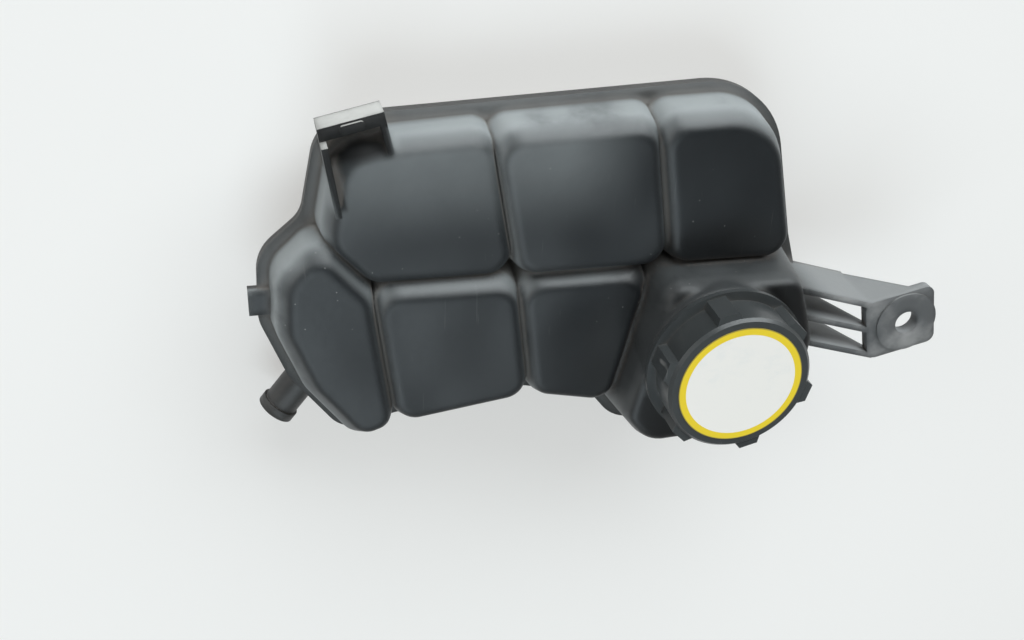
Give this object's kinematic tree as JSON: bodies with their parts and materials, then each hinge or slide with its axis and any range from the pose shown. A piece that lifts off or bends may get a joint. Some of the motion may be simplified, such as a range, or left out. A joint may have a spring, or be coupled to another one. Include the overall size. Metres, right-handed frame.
{
  "type": "coolant expansion tank",
  "caption": "Black moulded coolant expansion tank of pillow-like cells with a weld flange, side mounting arm, hose stubs and a screw-on pressure cap.",
  "frame": {"origin": "centre of the side arm's mounting bore, on the upper face of the arm's plate", "axes": "+Z along the cap's axis, away from the tank; +X along the tank's long side towards the arm; +Y across it, away from the cap"},
  "size_m": [0.2953, 0.1698, 0.0953],
  "materials": {
    "black_plastic": "satin moulded black, a little dusty",
    "cap_plastic": "satin moulded black",
    "label": "white printed film with a yellow ring",
    "insert_plastic": "glass-filled dark grey",
    "rubber": "black seal rubber",
    "steel": "stainless",
    "brass": "turned"
  },
  "bodies": {
    "tank": {"upper_shell": "black_plastic", "lower_shell": "black_plastic"},
    "insert": {"valve_pot": "insert_plastic", "rim_gasket": "rubber", "pot_ring": "rubber", "valve_seat": "insert_plastic", "pressure_spring": "steel"},
    "grip": {"cap_grip": "cap_plastic", "cap_label": "label"},
    "relief": {"pressure_disc": "steel", "pressure_seal": "rubber", "vacuum_spring": "steel"},
    "breather": {"vacuum_poppet": "brass", "vacuum_clip": "steel"}
  },
  "joints": [
    {"name": "cap_lift", "type": "slide", "parent": "tank", "child": "insert", "axis": [0, 0, 1], "range_m": [0, 0.04]},
    {"name": "cap_turn", "type": "hinge", "parent": "insert", "child": "grip", "pos_m": [-0.091, -0.002, 0.03], "axis": [0, 0, 1], "range_deg": [0, 2400]},
    {"name": "pressure_valve", "type": "slide", "parent": "insert", "child": "relief", "axis": [0, 0, 1], "range_m": [0, 0.003], "stiffness_N_per_m": 100, "springref_m": -0.008, "deforming": ["pressure_spring"]},
    {"name": "vacuum_valve", "type": "slide", "parent": "relief", "child": "breather", "axis": [0, 0, -1], "range_m": [0, 0.002], "stiffness_N_per_m": 10, "springref_m": -0.003, "deforming": ["vacuum_spring"]}
  ],
  "couplings": [
    {"joint": "cap_lift", "follows": "cap_turn", "m_per_rad": 0.000954}
  ]
}
